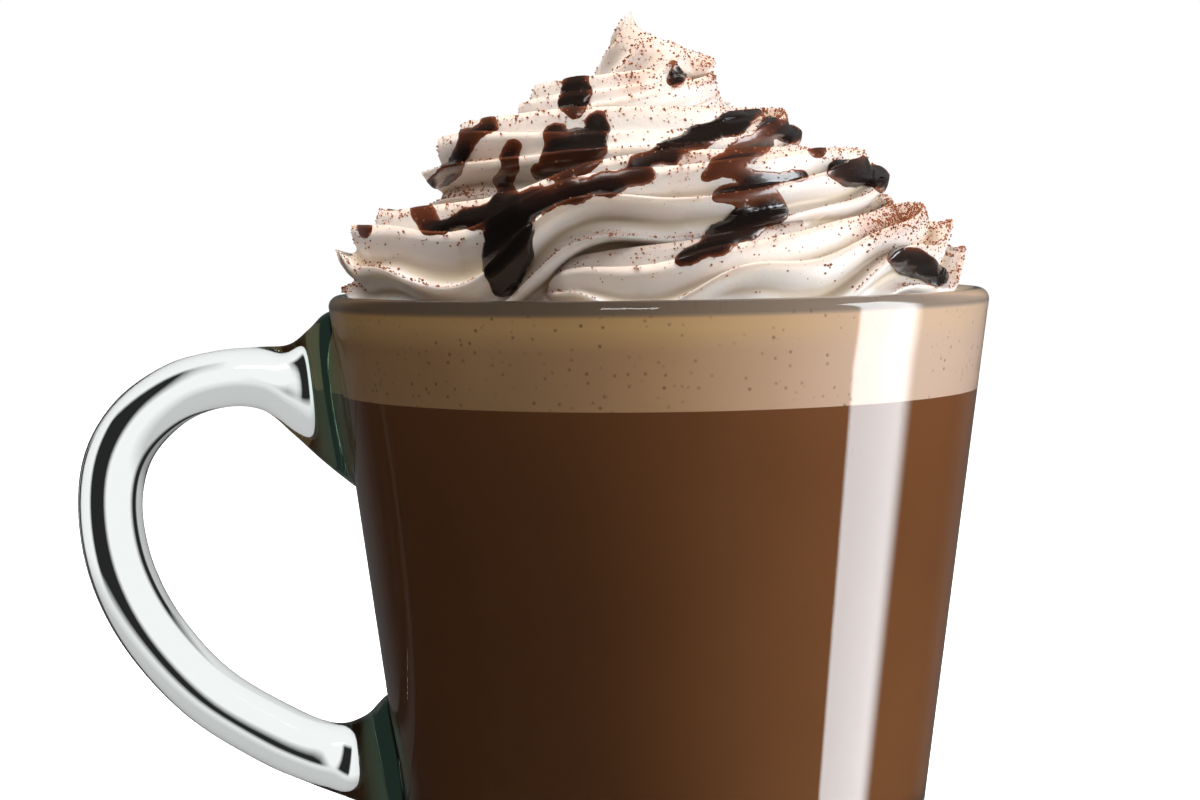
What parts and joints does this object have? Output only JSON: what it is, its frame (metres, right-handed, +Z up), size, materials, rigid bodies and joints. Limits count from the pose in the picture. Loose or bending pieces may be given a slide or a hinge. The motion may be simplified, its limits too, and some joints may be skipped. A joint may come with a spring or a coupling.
{
  "type": "caffe mocha in a glass mug",
  "caption": "Clear glass mug of caffe mocha with a milk foam layer and a piped whipped cream swirl, chocolate syrup drizzle and cocoa powder.",
  "frame": {"origin": "centre of the mug's foot, on the surface that it stands on", "axes": "+Z up, -X towards the handle, -Y the front of the mug"},
  "size_m": [0.1336, 0.0956, 0.1223],
  "materials": {
    "clear_glass": "clear pressed glass, fire-polished, green where it is thick",
    "mocha": "opaque brown drink behind glass",
    "milk_foam": "fine tan milk foam with small dark specks",
    "whipped_cream": "soft satin whipped cream",
    "chocolate_syrup": "glossy dark syrup, red-brown where thin",
    "cocoa_powder": "dry matt powder"
  },
  "bodies": {
    "root": {"glass_mug": "clear_glass", "mocha": "mocha", "milk_foam": "milk_foam", "whipped_cream": "whipped_cream"}
  },
  "joints": []
}
